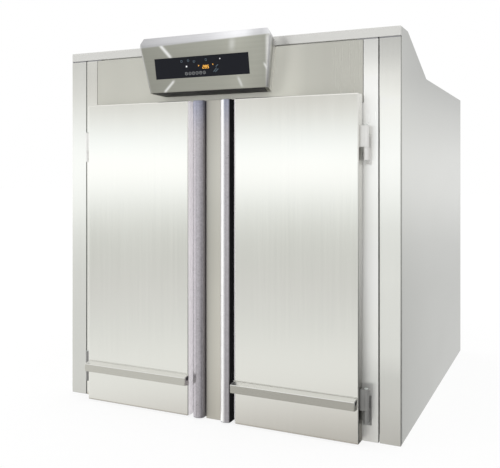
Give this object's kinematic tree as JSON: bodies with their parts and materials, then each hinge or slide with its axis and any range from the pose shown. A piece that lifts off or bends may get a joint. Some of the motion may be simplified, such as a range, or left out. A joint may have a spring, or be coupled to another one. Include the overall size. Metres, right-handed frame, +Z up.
{
  "type": "proofing cabinet",
  "caption": "Roll-in insulated proofing cabinet with hinged doors on a centre mullion, a hipped control console over them, rear air duct with fans and a sloped equipment hood.",
  "frame": {"origin": "on the floor, at the middle of the footprint of the cabinet body, without its doors, hinges and console", "axes": "+Z up; the doors face -Y; +X is to the right of someone who stands in front of the doors"},
  "size_m": [2.34, 2.5113, 2.422],
  "materials": {
    "satin_steel": "brushed stainless sheet, satin, grain along the panel",
    "door_steel": "brushed stainless sheet, fine satin",
    "bright_steel": "bright brushed stainless",
    "cast_steel": "blasted cast stainless, matt grey",
    "anodised_aluminium": "satin anodised extrusion, light grey",
    "black_glass": "glossy black control glass",
    "black_plastic": "matt black moulding",
    "grey_plastic": "matt grey moulding",
    "grey_rubber": "dark grey door seal",
    "brass": "plain turned brass",
    "circuit_board": "green circuit board",
    "lamp_lens": "frosted lamp lens"
  },
  "bodies": {
    "cabinet": {"side_panel_left": "satin_steel", "side_panel_right": "satin_steel", "rear_panel": "satin_steel", "roof_panel": "satin_steel", "floor_pan": "satin_steel", "frame_upright_left": "satin_steel", "frame_upright_right": "satin_steel", "frame_head": "satin_steel", "outer_post_left": "satin_steel", "outer_post_right": "satin_steel", "inner_jamb_left": "satin_steel", "inner_jamb_right": "satin_steel", "header_panel": "satin_steel", "top_trim": "bright_steel", "centre_mullion": "satin_steel", "mullion_cover": "satin_steel", "hood_cover": "satin_steel", "electrical_box": "grey_plastic", "cable_gland": "black_plastic", "water_inlet": "brass", "console_housing": "satin_steel", "console_base": "black_plastic", "display_panel": "black_glass", "control_board": "circuit_board", "hinge_frame_upper_left": "cast_steel", "hinge_frame_lower_left": "cast_steel", "hinge_frame_upper_right": "cast_steel", "hinge_frame_lower_right": "cast_steel", "hinge_pin_upper_left": "bright_steel", "hinge_pin_lower_left": "bright_steel", "hinge_pin_upper_right": "bright_steel", "hinge_pin_lower_right": "bright_steel", "rear_duct": "satin_steel", "fan_guard_left": "bright_steel", "fan_guard_right": "bright_steel", "fan_motor_left": "cast_steel", "fan_motor_right": "cast_steel", "heater_element": "cast_steel", "steam_generator": "satin_steel", "steam_pipe": "satin_steel", "climate_probe": "grey_plastic", "lamp_housing": "black_plastic", "lamp_lens": "lamp_lens", "rack_bumper_left": "grey_plastic", "rack_bumper_right": "grey_plastic"},
    "left_door": {"door_leaf_left": "door_steel", "door_handle_left": "anodised_aluminium", "door_gasket_left": "grey_rubber", "kick_rail_left": "bright_steel", "hinge_door_upper_left": "cast_steel", "hinge_door_lower_left": "cast_steel"},
    "right_door": {"door_leaf_right": "door_steel", "door_handle_right": "anodised_aluminium", "door_gasket_right": "grey_rubber", "kick_rail_right": "bright_steel", "hinge_door_upper_right": "cast_steel", "hinge_door_lower_right": "cast_steel"},
    "left_fan": {"fan_rotor_left": "black_plastic"},
    "right_fan": {"fan_rotor_right": "black_plastic"}
  },
  "joints": [
    {"name": "left_door_hinge", "type": "hinge", "parent": "cabinet", "child": "left_door", "pos_m": [-0.984, -1.223, 0], "axis": [0, 0, -1], "range_deg": [0, 120]},
    {"name": "right_door_hinge", "type": "hinge", "parent": "cabinet", "child": "right_door", "pos_m": [0.984, -1.223, 0], "axis": [0, 0, 1], "range_deg": [0, 120]},
    {"name": "left_fan_spin", "type": "hinge", "parent": "cabinet", "child": "left_fan", "pos_m": [-0.52, 0.908, 1.64], "axis": [0, 1, 0], "continuous": true},
    {"name": "right_fan_spin", "type": "hinge", "parent": "cabinet", "child": "right_fan", "pos_m": [0.52, 0.908, 1.64], "axis": [0, 1, 0], "continuous": true}
  ]
}
